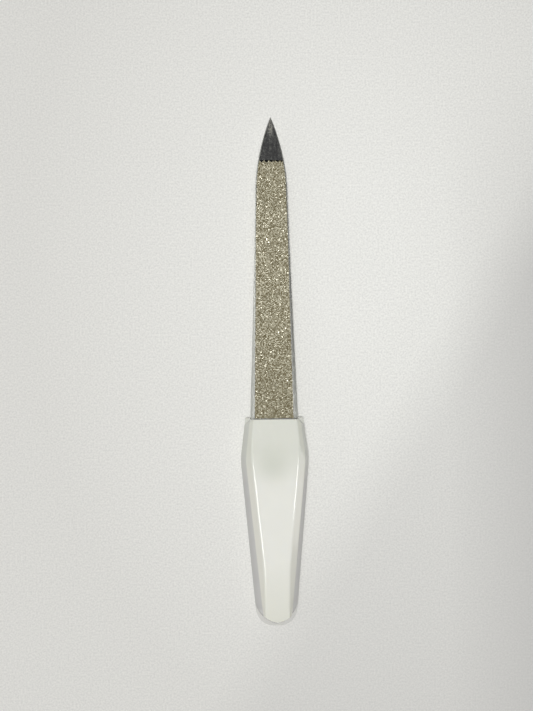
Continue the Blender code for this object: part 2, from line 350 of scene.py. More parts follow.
class NodeBench:
    """Adds the nodes of one material, group or world and joins them."""

    def __init__(self, tree: bpy.types.NodeTree) -> None:
        """Work on a node tree."""
        self.tree = tree

    def fill(self, target: Socket, value: object) -> None:
        """Let a socket drive an input, or set the input to a value.

        Args:
            target: The input.
            value: The socket or the value.
        """
        if isinstance(value, bpy.types.NodeSocket):
            self.tree.links.new(value, target)
        else:
            target.default_value = value

    def add(
        self, kind: str, inputs: dict | None = None, output: int | str = 0, **settings: object
    ) -> Socket:
        """Add a node.

        Args:
            kind: The node's Blender type, without its ShaderNode prefix.
            inputs: Values for its sockets, or sockets that feed them, by name or number.
            output: The name or number of the output that is wanted.
            **settings: Values for the node's own settings.

        Returns:
            The output.
        """
        node = self.tree.nodes.new("ShaderNode" + kind)
        for name, value in settings.items():
            setattr(node, name, value)
        for key, value in (inputs or {}).items():
            self.fill(node.inputs[key], value)
        return node.outputs[output]

    def math(self, operation: str, first: object, second: object = 0.0) -> Socket:
        """One sum of two values or sockets."""
        return self.add("Math", {0: first, 1: second}, operation=operation)

    def plus(self, first: object, second: object) -> Socket:
        """The sum of two values."""
        return self.math("ADD", first, second)

    def times(self, first: object, second: object) -> Socket:
        """The product of two values."""
        return self.math("MULTIPLY", first, second)

    def blend(self, share: object, first: object, second: object) -> Socket:
        """Mix two colours by a share."""
        return self.add("Mix", {0: share, 6: first, 7: second}, 2, data_type="RGBA")

    def span(
        self, value: object, low: float, high: float, to_low: object = 0.0, to_high: object = 1.0
    ) -> Socket:
        """Carry a value from one range to another, held at its ends."""
        return self.add("MapRange", {0: value, 1: low, 2: high, 3: to_low, 4: to_high})

    def toward(self, direction: object, target: object) -> Socket:
        """How far a vector reaches along a target direction: their dot product."""
        return self.add("VectorMath", {0: direction, 1: target}, "Value", operation="DOT_PRODUCT")

    def ramp(self, value: object, stops: dict[float, Colour]) -> Socket:
        """Colours that blend into each other along a value of 0 to 1.

        Args:
            value: The value.
            stops: Colours by their place on the value, in order.

        Returns:
            The colour.
        """
        colour = self.add("ValToRGB", {0: value})
        elements = colour.node.color_ramp.elements
        while len(elements) < len(stops):
            elements.new(0.5)
        for element, (place, shown) in zip(elements, stops.items()):
            element.position, element.color = place, shown
        return colour

    def stretched(self, vector: object, scale: tuple[float, float, float]) -> Socket:
        """Scale coordinates by axis."""
        return self.add("Mapping", {"Vector": vector, "Scale": scale})

    def noise(self, vector: object, scale: object, detail: float, roughness: float = 0.5) -> Socket:
        """A noise value over a vector."""
        inputs = {"Vector": vector, "Scale": scale, "Detail": detail, "Roughness": roughness}
        return self.add("TexNoise", inputs)


def new_group(name: str, inputs: dict[str, str], output: str, fill: Callable) -> bpy.types.NodeTree:
    """Make a shader group with one value as its output.

    Args:
        name: The group's name.
        inputs: Socket types by input name.
        output: The output's name.
        fill: Adds the group's nodes to a bench, from its inputs, and returns the result.

    Returns:
        The group.
    """
    group = bpy.data.node_groups.new(name, "ShaderNodeTree")
    for socket, kind in inputs.items():
        group.interface.new_socket(name=socket, in_out="INPUT", socket_type="NodeSocket" + kind)
    group.interface.new_socket(name=output, in_out="OUTPUT", socket_type="NodeSocketFloat")
    given = group.nodes.new("NodeGroupInput").outputs
    result = group.nodes.new("NodeGroupOutput")
    group.links.new(fill(NodeBench(group), given), result.inputs[output])
    return group


class SharedEffects:
    """The shader groups that more than one finish uses."""

    def __init__(self) -> None:
        """Build each group once."""
        over = {"Vector": "Vector", "Count": "Float"}
        self.scratches = new_group("hairlines", {**over, "Turn": "Float"}, "Mask", self.hairlines)
        self.mottle = new_group("mottle", over, "Tone", self.clouds)
        self.wear = new_group("edge_wear", {**over, "Edge": "Float"}, "Mask", self.rubbed_edges)

    @staticmethod
    def hairlines(bench: NodeBench, given: dict[str, Socket]) -> Socket:
        """Fine hairlines, which are noise drawn out along Y and kept only where it peaks.

        Args:
            bench: The group's bench.
            given: The group's inputs.

        Returns:
            The hairlines' mask.
        """
        turned = bench.add("VectorRotate", {"Vector": given["Vector"], "Angle": given["Turn"]})
        drawn_out = bench.stretched(turned, (1.0, 0.02, 1.0))
        return bench.span(bench.noise(drawn_out, given["Count"], 2.0), 0.56, 0.74)

    @staticmethod
    def clouds(bench: NodeBench, given: dict[str, Socket]) -> Socket:
        """A soft cloudy value, which is noise with its contrast raised."""
        return bench.span(bench.noise(given["Vector"], given["Count"], 4.0, 0.6), 0.3, 0.7)

    @staticmethod
    def rubbed_edges(bench: NodeBench, given: dict[str, Socket]) -> Socket:
        """Rubbed edges, which are the edge attribute broken up by noise."""
        patches = bench.span(bench.noise(given["Vector"], given["Count"], 3.0), 0.42, 0.6)
        return bench.times(patches, given["Edge"])


class Finish:
    """A material under construction, with its shader and the shared effects."""

    def __init__(self, name: str, effects: SharedEffects) -> None:
        """Start a material that holds one Principled shader.

        Args:
            name: The material's name.
            effects: The shared shader groups.
        """
        self.material = bpy.data.materials.new(name)
        self.material.use_nodes = True
        self.bench = NodeBench(self.material.node_tree)
        self.shader = self.material.node_tree.nodes["Principled BSDF"]
        self.effects = effects
        self.place = self.bench.add("TexCoord", output="Object")

    def effect(self, group: bpy.types.NodeTree, count: float, **inputs: object) -> Socket:
        """Place a shared effect over the object's own coordinates, its detail counted by the metre."""
        return self.bench.add("Group", {"Vector": self.place, "Count": count, **inputs}, node_tree=group)

    def scratches(self, count: float, turn: float) -> Socket:
        """A mask of hairlines, turned from Y by an angle."""
        return self.effect(self.effects.scratches, count, Turn=turn)

    def mottle(self, count: float) -> Socket:
        """A cloudy tone."""
        return self.effect(self.effects.mottle, count)

    def wear(self, count: float) -> Socket:
        """A mask of rubbed edges."""
        return self.effect(self.effects.wear, count, Edge=self.attribute("edge"))

    def along(self, axis: str, start: float, end: float, at_start: float, at_end: float) -> Socket:
        """A value that changes evenly between two places on the object's X or Y, held beyond them."""
        coordinate = self.bench.add("SeparateXYZ", {0: self.place}, axis)
        return self.bench.span(coordinate, start, end, at_start, at_end)

    def bell(self, middle: tuple[float, float], halves: tuple[float, float]) -> Socket:
        """A bell over X and Y: e to minus the squared distance from its middle, counted in half sizes.

        Args:
            middle: The bell's middle.
            halves: Its half sizes across and along.

        Returns:
            The value, one at the middle.
        """
        (x, y), (across, along) = middle, halves
        inputs = {"Location": (-x / across, -y / along, 0.0), "Scale": (1 / across, 1 / along, 0.0)}
        share = self.bench.add("Mapping", {"Vector": self.place, **inputs})
        return self.bench.math("EXPONENT", self.bench.times(self.bench.toward(share, share), -1.0))

    def attribute(self, name: str) -> Socket:
        """Read one of the piece's own attributes."""
        return self.bench.add("Attribute", output="Fac", attribute_name=name)

    def feed(self, **values: object) -> None:
        """Set the shader's sockets or let others drive them, with underscores for spaces."""
        for name, value in values.items():
            self.bench.fill(self.shader.inputs[name.replace("_", " ")], value)

    def bump(self, height: Socket, strength: float, distance: float) -> None:
        """Tilt the surface by a height."""
        inputs = {"Height": height, "Strength": strength, "Distance": distance}
        self.feed(Normal=self.bench.add("Bump", inputs))


@dataclass(frozen=True)
class PolishedSteel:
    """Stainless steel: a polished flat with faint haze, and bevels with coarser grinding marks."""

    flat: Colour = seen(185, 185, 187)
    hazy: Colour = seen(244, 245, 238)
    ground: Colour = seen(228, 229, 222)
    rubbed: Colour = seen(231, 232, 224)
    streaked: Colour = seen(236, 232, 208)
    flat_roughness: float = 0.1
    ground_roughness: float = 0.27
    hairline_count: float = 9000.0
    haze_count: float = 1500.0
    wear_count: float = 900.0
    speck_count: float = 3000.0
    lengthwise: float = 0.05
    crosswise: float = 1.35
    hairline_share: float = 0.5
    haze_share: float = 0.9
    rubbed_share: float = 0.4
    streak_share: float = 0.6
    haze_dulling: float = 0.1
    streak_dulling: float = 0.4
    streak_from_tip: float = 2.5 * MILLIMETRE
    streak_halves: tuple = (0.5 * MILLIMETRE, 2.2 * MILLIMETRE)

    def make(self, effects: SharedEffects, datum: Datum) -> Material:
        """Build the material.

        Args:
            effects: The shared shader groups.
            datum: The tip's place.

        Returns:
            The steel.
        """
        finish = Finish("polished_steel", effects)
        bench, bevel, haze = finish.bench, finish.attribute("bevel"), finish.mottle(self.haze_count)
        streak = self.streak(finish, datum)
        patches = bench.times(bench.math("POWER", haze, 2.0), self.haze_share)
        clouded = bench.blend(patches, self.flat, self.hazy)
        flat = bench.blend(bench.times(streak, self.streak_share), clouded, self.streaked)
        rubbed = bench.times(finish.wear(self.wear_count), self.rubbed_share)
        tone = bench.blend(rubbed, bench.blend(bevel, flat, self.ground), self.rubbed)
        gloss = bench.span(bevel, 0.0, 1.0, self.flat_roughness, self.ground_roughness)
        dulled = bench.plus(bench.times(haze, self.haze_dulling), bench.times(streak, self.streak_dulling))
        finish.feed(Base_Color=tone, Roughness=bench.plus(gloss, dulled), Metallic=1.0)
        lines = bench.times(finish.scratches(self.hairline_count, self.lengthwise), self.hairline_share)
        marks = bench.blend(bevel, lines, finish.scratches(self.hairline_count, self.crosswise))
        finish.bump(marks, strength=0.35, distance=0.02 * MILLIMETRE)
        return finish.material

    def streak(self, finish: Finish, datum: Datum) -> Socket:
        """The rubbed streak behind the point, which is a bell broken up by noise.

        Args:
            finish: The material.
            datum: The tip's place.

        Returns:
            The streak's mask.
        """
        bell = finish.bell((0.0, datum.tip_y - self.streak_from_tip), self.streak_halves)
        specks = finish.bench.noise(finish.place, self.speck_count, 2.0)
        return finish.bench.times(bell, finish.bench.span(specks, 0.35, 0.6, 0.35, 1.0))


@dataclass(frozen=True)
class PlatedGrit:
    """Diamond grains in a warm nickel plate, each with its own tone and gloss, soiled near the handle."""

    name: str
    plate: Colour = seen(118, 109, 79)
    grain_dark: Colour = seen(137, 127, 96)
    grain_light: Colour = seen(255, 251, 226)
    grain_roughness: float = 0.1
    plate_roughness: float = 0.6
    metal_share: float = 0.15
    sparkle: float = 0.9
    soiled_reach: float = 30.0 * MILLIMETRE
    soiled_share: float = 0.32
    cloud_count: float = 450.0
    cloud_share: float = 0.14
    fine_count: float = 26000.0

    def make(self, effects: SharedEffects, datum: Datum) -> Material:
        """Build the material.

        Args:
            effects: The shared shader groups.
            datum: The mouth's place.

        Returns:
            The grit.
        """
        finish = Finish(self.name, effects)
        bench, height = finish.bench, finish.attribute("height")
        grains = bench.blend(finish.attribute("grain"), self.grain_dark, self.grain_light)
        mouth = datum.mouth_y
        handled = finish.along("Y", mouth, mouth + self.soiled_reach, self.soiled_share, 0.0)
        soiled = bench.plus(bench.times(finish.mottle(self.cloud_count), self.cloud_share), handled)
        tone = bench.blend(soiled, bench.blend(height, self.plate, grains), self.plate)
        gloss = bench.span(height, 0.4, 0.75, self.plate_roughness, self.grain_roughness)
        finish.feed(Base_Color=tone, Roughness=gloss)
        finish.feed(Metallic=self.metal_share, Specular_IOR_Level=self.sparkle)
        fine = bench.noise(finish.place, self.fine_count, 2.0)
        finish.bump(fine, strength=0.12, distance=0.01 * MILLIMETRE)
        return finish.material


@dataclass(frozen=True)
class MilkyPlastic:
    """Glossy milky white plastic, pale on the thin web, with painted shade on the steep sides, over the
    tang and towards the tail.
    """

    web: Colour = seen(214, 213, 209)
    # Painted shade: the band and facet colours are darker copies of the table's colour, for the steep
    # sides.
    band_foot_painted_shade: Colour = seen(196, 195, 193)
    band_top_painted_shade: Colour = seen(205, 204, 202)
    facet: Colour = seen(225, 224, 215)
    table: Colour = seen(242, 242, 235)
    # Painted shade: the tail colour darkens the band's top, facets and table towards the tail.
    tail: Colour = seen(225, 225, 212)
    # Painted shade over the tang.
    painted_tang_shade_colour: Colour = seen(214, 217, 205)
    roughness: float = 0.13
    tang_end_depth: float = 11.8 * MILLIMETRE
    tang_offset: float = 0.5 * MILLIMETRE
    tang_fade: float = 4.0 * MILLIMETRE
    tang_shade_share: float = 0.5
    end_halves: tuple = (4.0 * MILLIMETRE, 4.0 * MILLIMETRE)
    end_share: float = 0.5
    tail_reach: float = 18.0 * MILLIMETRE
    tail_shade_share: float = 0.75
    cloud_count: float = 260.0
    cloud_share: float = 0.05
    hairline_count: float = 5000.0
    hairline_turn: float = 0.3
    hairline_dulling: float = 0.06
    wear_count: float = 700.0
    wear_dulling: float = 0.05

    def make(self, effects: SharedEffects, datum: Datum) -> Material:
        """Build the material.

        Args:
            effects: The shared shader groups.
            datum: The mouth's place.

        Returns:
            The plastic.
        """
        finish = Finish("milky_plastic", effects)
        bench, level, cloud = finish.bench, finish.attribute("level"), finish.mottle(self.cloud_count)
        # Painted shade: darker colours by level, from the band's foot up to the table's edge.
        stops = {0.0: self.web, 0.03: self.band_foot_painted_shade, 0.6: self.band_top_painted_shade, 0.68: self.facet, 0.9: self.facet}
        body = bench.ramp(level, {**stops, 0.98: self.table})
        # Painted shade towards the tail, over the band's top, the facets and the table.
        end_share = finish.along("Y", datum.tail_y, datum.tail_y + self.tail_reach, self.tail_shade_share, 0.0)
        tail_shaded = bench.blend(end_share, body, self.tail)
        body = bench.blend(bench.span(level, 0.6, 0.98), body, tail_shaded)
        # Painted shade over the tang, most round its end.
        body = bench.blend(self.painted_tang_shade(finish, datum), body, self.painted_tang_shade_colour)
        body = bench.blend(bench.times(cloud, self.cloud_share), body, self.band_top_painted_shade)
        hairlines = finish.scratches(self.hairline_count, self.hairline_turn)
        lines = bench.times(hairlines, self.hairline_dulling)
        rubbed = bench.times(finish.wear(self.wear_count), self.wear_dulling)
        finish.feed(Base_Color=body, Roughness=bench.plus(bench.plus(lines, rubbed), self.roughness))
        finish.feed(Subsurface_Weight=0.3, Subsurface_Scale=0.5 * MILLIMETRE)
        finish.feed(Subsurface_Radius=(1.0, 0.95, 0.85))
        finish.feed(Coat_Weight=0.8, Coat_Roughness=0.07, Coat_IOR=1.6)
        finish.bump(cloud, strength=0.08, distance=0.03 * MILLIMETRE)
        return finish.material

    def painted_tang_shade(self, finish: Finish, datum: Datum) -> Socket:
        """How much painted shade lies over the tang: evenly down to its end, and most round the end itself.

        Args:
            finish: The material.
            datum: The mouth's place.

        Returns:
            The shade's share.
        """
        tang_end = datum.mouth_y - self.tang_end_depth
        near, far = tang_end - self.tang_fade, tang_end + self.tang_fade
        shade_to_tang_end = finish.along("Y", near, far, 0.0, self.tang_shade_share)
        bell = finish.bell((-self.tang_offset, tang_end), self.end_halves)
        return finish.bench.plus(shade_to_tang_end, finish.bench.times(bell, self.end_share))


@dataclass(frozen=True)
class PalePaper:
    """Matt white paper with a faint grain, a painted pool of light that dims far off, and a painted shadow
    past a soft slanting line and to the right.
    """

    # Painted light: the sheet fades from the light colour near the middle to the far one.
    light: Colour = seen(255, 255, 251)
    far: Colour = seen(235, 234, 230)
    # Painted shadow: the dim colour, past the slant and towards the right.
    dim: Colour = seen(205, 204, 202)
    fibre: Colour = seen(186, 186, 184)
    fibre_share: float = 0.45
    grain_count: float = 2100.0
    middle_x: float = 22.0 * MILLIMETRE
    middle_y: float = 30.0 * MILLIMETRE
    narrowing: float = 1.5
    near_reach: float = 18.0 * MILLIMETRE
    far_reach: float = 130.0 * MILLIMETRE
    slant: tuple = (0.848, -0.53, 0.0)
    slant_start: float = 30.0 * MILLIMETRE
    slant_end: float = 45.0 * MILLIMETRE
    slant_shadow_share: float = 0.34
    right_start: float = 45.0 * MILLIMETRE
    right_end: float = 70.0 * MILLIMETRE
    right_shadow_share: float = 0.5
    right_full: float = 25.0 * MILLIMETRE
    right_top: float = 80.0 * MILLIMETRE

    def make(self, effects: SharedEffects) -> Material:
        """Build the material.

        Args:
            effects: The shared shader groups.

        Returns:
            The paper.
        """
        finish = Finish("pale_paper", effects)
        bench, grain = finish.bench, finish.mottle(self.grain_count)
        # Painted pool of light round the middle, dimmer far off.
        narrowed = bench.stretched(finish.place, (self.narrowing, 1.0, 1.0))
        middle = (self.middle_x * self.narrowing, self.middle_y, 0.0)
        reach = bench.add("VectorMath", {0: narrowed, 1: middle}, "Value", operation="DISTANCE")
        sheet = bench.blend(bench.span(reach, self.near_reach, self.far_reach), self.light, self.far)
        # Painted shadow past a soft slanting line and towards the right edge, below the top.
        past_slant = bench.toward(finish.place, self.slant)
        slant_shadow = bench.span(past_slant, self.slant_start, self.slant_end, 0.0, self.slant_shadow_share)
        right_shadow = finish.along("X", self.right_start, self.right_end, 0.0, self.right_shadow_share)
        below_top = finish.along("Y", self.right_full, self.right_top, 1.0, 0.0)
        painted_shadow_share = bench.plus(slant_shadow, bench.times(right_shadow, below_top))
        sheet = bench.blend(painted_shadow_share, sheet, self.dim)
        sheet = bench.blend(bench.times(grain, self.fibre_share), sheet, self.fibre)
        finish.feed(Base_Color=sheet, Roughness=0.9, Specular_IOR_Level=0.2)
        finish.bump(grain, strength=0.3, distance=0.04 * MILLIMETRE)
        return finish.material


@dataclass
class Blade:
    """The steel strip: a pointed arch, a straight taper, bevelled edges, a heel and a tang."""

    datum: Datum
    thickness: float = 1.0 * MILLIMETRE
    tip_width: float = 0.2 * MILLIMETRE
    shoulder_from_tip: float = 20.0 * MILLIMETRE
    shoulder_width: float = 8.2 * MILLIMETRE
    heel_width: float = 12.2 * MILLIMETRE
    ogive_power: float = 2.0
    taper_power: float = 1.12
    fine_bevel_run: float = 0.2 * MILLIMETRE
    heel_bevel_run: float = 1.0 * MILLIMETRE
    bevel_slope: float = 0.3
    bevel_widens_from_tip: float = 30.0 * MILLIMETRE
    bevel_unevenness: float = 0.05
    bevel_wavelength: float = 6.0 * MILLIMETRE
    bevel_most_share: float = 0.7
    nose_radius: float = 0.45 * MILLIMETRE
    nose_first_angle: float = 0.12
    heel_depth: float = 1.5 * MILLIMETRE
    heel_shoulder_depth: float = 3.0 * MILLIMETRE
    tang_length: float = 15.0 * MILLIMETRE
    tang_width: float = 7.0 * MILLIMETRE
    tang_corner: float = 1.0 * MILLIMETRE
    hole_diameter: float = 3.0 * MILLIMETRE
    hole_depth: float = 6.5 * MILLIMETRE
    flat_rounding: float = 0.05 * MILLIMETRE
    edge_rounding: float = 0.1 * MILLIMETRE
    rounding_steps: int = 5
    nose_points: int = 12
    arch_points: int = 90
    taper_points: int = 180
    hole_sides: int = 64
    sharp_angle: float = radians(40)
    seed: int = 11

    def half_width(self, from_tip: Array) -> Array:
        """Half the blade's width at distances from the tip.

        The arch opens as one minus (1 - share) to a power, the taper as its share to a power,
        and the nose is a quarter round over its radius.

        Args:
            from_tip: Distances from the tip.

        Returns:
            Half widths.
        """
        arch_share = np.clip(from_tip / self.shoulder_from_tip, 0, 1)
        arch = (1 - (1 - arch_share) ** self.ogive_power) * (self.shoulder_width - self.tip_width)
        taper_share = (from_tip - self.shoulder_from_tip) / (self.datum.reach - self.shoulder_from_tip)
        taper = np.clip(taper_share, 0, 1) ** self.taper_power * (self.heel_width - self.shoulder_width)
        nose = np.sqrt(1 - (1 - np.clip(from_tip / self.nose_radius, 0, 1)) ** 2)
        return (self.tip_width + arch + taper) / 2 * nose

    def bevel_run(self, from_tip: Array) -> Array:
        """The bevel's width in plan: fine along the tip, then opening evenly up to the heel."""
        share = (from_tip - self.bevel_widens_from_tip) / (self.datum.reach - self.bevel_widens_from_tip)
        return self.fine_bevel_run + (self.heel_bevel_run - self.fine_bevel_run) * np.clip(share, 0, 1)

    def rear(self) -> Array:
        """The outline of the heel's end and of the tang, on one side.

        Returns:
            Half widths and depths from the mouth, shaped (points, 2).
        """
        tang_half, corner, end = self.tang_width / 2, self.tang_corner, self.tang_length
        heel = [(self.heel_width / 2, self.heel_depth), (tang_half, self.heel_shoulder_depth)]
        return np.array([*heel, (tang_half, end - corner), (tang_half - corner, end)])

    def stations(self) -> tuple[Array, Array, Array]:
        """The strip's sections from tip to tang end.

        Returns:
            The reach of each section from the mouth, its half width and its bevel run.
        """
        nose_angle = np.linspace(self.nose_first_angle, pi / 2, self.nose_points)
        arch = np.linspace(self.nose_radius, self.shoulder_from_tip, self.arch_points)[1:]
        taper = np.linspace(self.shoulder_from_tip, self.datum.reach, self.taper_points)[1:]
        from_tip = np.concatenate([self.nose_radius * (1 - np.cos(nose_angle)), arch, taper])
        waves = wander(from_tip, self.bevel_wavelength, np.random.default_rng(self.seed))
        run = self.bevel_run(from_tip) * (1 + self.bevel_unevenness * waves)
        half = self.half_width(from_tip)
        run = np.minimum(run, self.bevel_most_share * half)
        rear_half, rear_depth = self.rear().T
        reach = np.append(self.datum.reach - from_tip, -rear_depth)
        rear_run = [self.heel_bevel_run] + [self.fine_bevel_run] * 3
        return reach, np.append(half, rear_half), np.append(run, rear_run)

    def build(self) -> Thing:
        """Make the strip as a tube of rounded six-sided sections, with the anchor hole cut out.

        Each section is a quarter, mirrored three times. Its points hold a fourth number, which
        says whether they lie on the bevel.

        Returns:
            The blade's object.
        """
        reach, half, run = self.stations()
        top, zero = np.full_like(half, self.thickness / 2), np.zeros_like(half)
        corners = [(zero, top), (half - run, top), (half, top - run * self.bevel_slope), (half, zero)]
        cuts = np.array([self.flat_rounding, self.edge_rounding])
        quarter = rounded_profiles(sections(corners, reach), cuts, self.rounding_steps)
        on_bevel = np.ones(quarter.shape[:2])
        on_bevel[:, :2] = 0
        quarter = np.dstack([quarter, on_bevel])
        right_low, left_low = quarter[:, -2::-1] * [1, 1, -1, 1], quarter[:, 1:] * [-1, 1, -1, 1]
        rings = np.concatenate([quarter, right_low, left_low, quarter[:, -2:0:-1] * [-1, 1, 1, 1]], axis=1)
        blade = lofted("steel_blade", self.datum.place(rings[..., :3]))
        store(blade, "bevel", rings[..., 3].ravel())
        combine(blade, self.anchor(0.0), Joining.CUT)
        shade(blade, self.sharp_angle)
        return blade

    def anchor(self, clearance: float) -> Thing:
        """An upright cylinder at the tang's anchor hole, as tall as the handle is thick.

        Args:
            clearance: How far its side stands inside the hole's.

        Returns:
            The cylinder's object.
        """
        angle = np.linspace(0, 2 * pi, self.hole_sides, endpoint=False)
        circle = np.column_stack([np.cos(angle), np.sin(angle)]) * (self.hole_diameter - 2 * clearance) / 2
        high = self.datum.middle_z
        return prism("anchor", circle - [0, self.hole_depth], self.datum, -high, high)


@dataclass
class GritCoat:
    """One face's diamond coat: a field of small tilted crystals in a thin plate."""

    name: str
    blade: Blade
    face: Face
    bare_tip: float = 11.0 * MILLIMETRE
    mouth_gap: float = 0.22 * MILLIMETRE
    edge_inset: float = 0.04 * MILLIMETRE
    plate_low: float = 0.5 * MILLIMETRE
    plate_high: float = 0.57 * MILLIMETRE
    plate_unevenness: float = 0.01 * MILLIMETRE
    grain_high: float = 0.7 * MILLIMETRE
    least_stand: float = 0.004 * MILLIMETRE
    rows: int = 250
    columns: int = 31
    seed: int = 5
    jitter: float = 0.34
    border_jitter: float = 0.45
    end_jitter: float = 0.6
    ragged_cells: float = 1.1
    ragged_rows: int = 8
    ragged_wavelength: float = 5.0
    top_shares: tuple = (0.62, 0.95)
    least_height: float = 0.25
    empty_height: float = 0.06
    empty_share: float = 0.12
    lift_share: float = 0.8
    steepest: float = 0.55
    tone_beta: tuple = (2.0, 2.8)
    bright_share: float = 0.14
    dark_share: float = 0.14
    stand_off: float = 0.75
    flank_tone: float = 0.85
    flank_height: float = 0.8
    height_power: float = 0.4

    def lattice(self, rng: Generator) -> Array:
        """The points between the grains, jittered off an even grid, with ragged borders.

        Args:
            rng: The source of the jitter.

        Returns:
            Points measured from the mouth, shaped (rows + 1, columns + 1, 3).
        """
        across, along = np.meshgrid(np.arange(self.columns + 1.0), np.arange(self.rows + 1.0))
        aside, ahead = rng.uniform(-self.jitter, self.jitter, (2, *across.shape))
        inward = np.array([[1], [-1]])
        aside[:, 0], aside[:, -1] = rng.uniform(0, self.border_jitter, (2, self.rows + 1)) * inward
        ahead[0], ahead[-1] = rng.uniform(0, self.end_jitter, (2, self.columns + 1)) * inward
        ragged = self.ragged_cells * (1 + wander(across[0], self.ragged_wavelength, rng))
        ahead += ragged * np.clip(1 - along / self.ragged_rows, 0, 1)
        across_share = (across + aside) / self.columns * 2 - 1
        length = self.blade.datum.reach - self.bare_tip - self.mouth_gap
        from_tip = self.bare_tip + length * (along + ahead) / self.rows
        half = self.blade.half_width(from_tip) - self.blade.bevel_run(from_tip) - self.edge_inset
        plate = self.plate_high + rng.uniform(-1, 1, across.shape) * self.plate_unevenness
        return np.stack([across_share * half, self.blade.datum.reach - from_tip, plate], axis=-1)

    def grain_tops(self, lattice: Array, rng: Generator) -> tuple[Array, Array]:
        """The flat top of each grain: its cell shrunk about its middle, raised and tilted.

        Args:
            lattice: The points between the grains.
            rng: The source of sizes, heights and tilts.

        Returns:
            Four points for each grain, shaped (rows, columns, 4, 3), and each grain's height share.
        """
        cells = cell_corners(lattice)
        middle = cells.mean(axis=2, keepdims=True)
        shape = cells.shape[:2]
        offset = (cells - middle) * rng.uniform(*self.top_shares, shape)[..., None, None]
        height = rng.uniform(self.least_height, 1.0, shape)
        height[rng.uniform(size=shape) < self.empty_share] = self.empty_height
        slope = rng.normal(0, self.steepest / 2, (*shape, 1, 2)).clip(-self.steepest, self.steepest)
        lift = (self.grain_high - self.plate_high) * self.lift_share * height
        stand = lift[..., None] + (offset[..., :2] * slope).sum(axis=-1)
        tops = middle + offset
        tops[..., 2] = np.clip(self.plate_high + stand, self.plate_high + self.least_stand, self.grain_high)
        return tops, height

    def build(self) -> Thing:
        """Make the coat as one closed mesh: grains on top, a thin border and a flat underside.

        Returns:
            The coat's object.
        """
        rng = np.random.default_rng(self.seed)
        lattice = self.lattice(rng)
        tops, height = self.grain_tops(lattice, rng)
        plate, crowns = lattice.reshape(-1, 3), tops.reshape(-1, 3)
        numbers, top_numbers = point_numbers(lattice), point_numbers(tops, len(plate))
        border = np.concatenate([numbers[0, :-1], numbers[:-1, -1], numbers[-1, :0:-1], numbers[:0:-1, 0]])
        low_points = plate[border] * [1, 1, 0] + [0, 0, self.plate_low]
        low = point_numbers(low_points, len(plate) + len(crowns))
        faces = top_numbers.reshape(-1, 4).tolist() + ring_quads(cell_corners(numbers), top_numbers)
        faces += ring_quads(border, low) + self.underside(low)
        points = np.concatenate([plate, crowns, low_points]) * [1, 1, self.face.value]
        coat = new_object(self.name, self.blade.datum.place(points), faces)
        self.mark_grains(coat, height, rng)
        return coat

    def underside(self, low: Array) -> list[list[int]]:
        """Strips from the left border to the right one, with a broad end strip at each end.

        Args:
            low: Numbers of the low border points, in order round the coat from the tip's left.

        Returns:
            The strips as lists of point numbers.
        """
        columns, rows = self.columns, self.rows
        right = low[columns:columns + rows + 1]
        left = np.concatenate([low[:1], low[:columns + rows + columns - 1:-1]])
        strips = sheet_quads(np.column_stack([left[1:-1], right[1:-1]]))
        tip_end = [*low[:columns + 1].tolist(), int(right[1]), int(left[1])]
        mouth_end = [*low[columns + rows:2 * columns + rows + 1].tolist(), int(left[-2]), int(right[-2])]
        return strips + [tip_end, mouth_end]

    def mark_grains(self, coat: Thing, height: Array, rng: Generator) -> None:
        """Store each face's tone and how far it stands out of the plate.

        Most tones are drawn about the middle and some are fully bright or dark. Each is then
        pushed away from the mean of the four beside it. A grain's flanks take a share of its top's
        values, and the border and the underside take zero.

        Args:
            coat: The coat's object.
            height: Each grain's height share.
            rng: The source of the tones.
        """
        tone = rng.beta(*self.tone_beta, height.shape)
        lot = rng.uniform(size=height.shape)
        tone = np.where(lot < self.bright_share, 1.0, np.where(lot > 1 - self.dark_share, 0.0, tone))
        beside = sum(np.roll(tone, step, axis) for step in (-1, 1) for axis in (0, 1)) / 4
        tone = np.clip(tone + self.stand_off * (tone - beside), 0, 1)
        stand = height ** self.height_power
        for name, tops, share in (("grain", tone, self.flank_tone), ("height", stand, self.flank_height)):
            values = np.zeros(len(coat.data.polygons))
            values[:tops.size * 5] = np.append(tops, np.repeat(tops * share, 4))
            store(coat, name, values, "FACE")


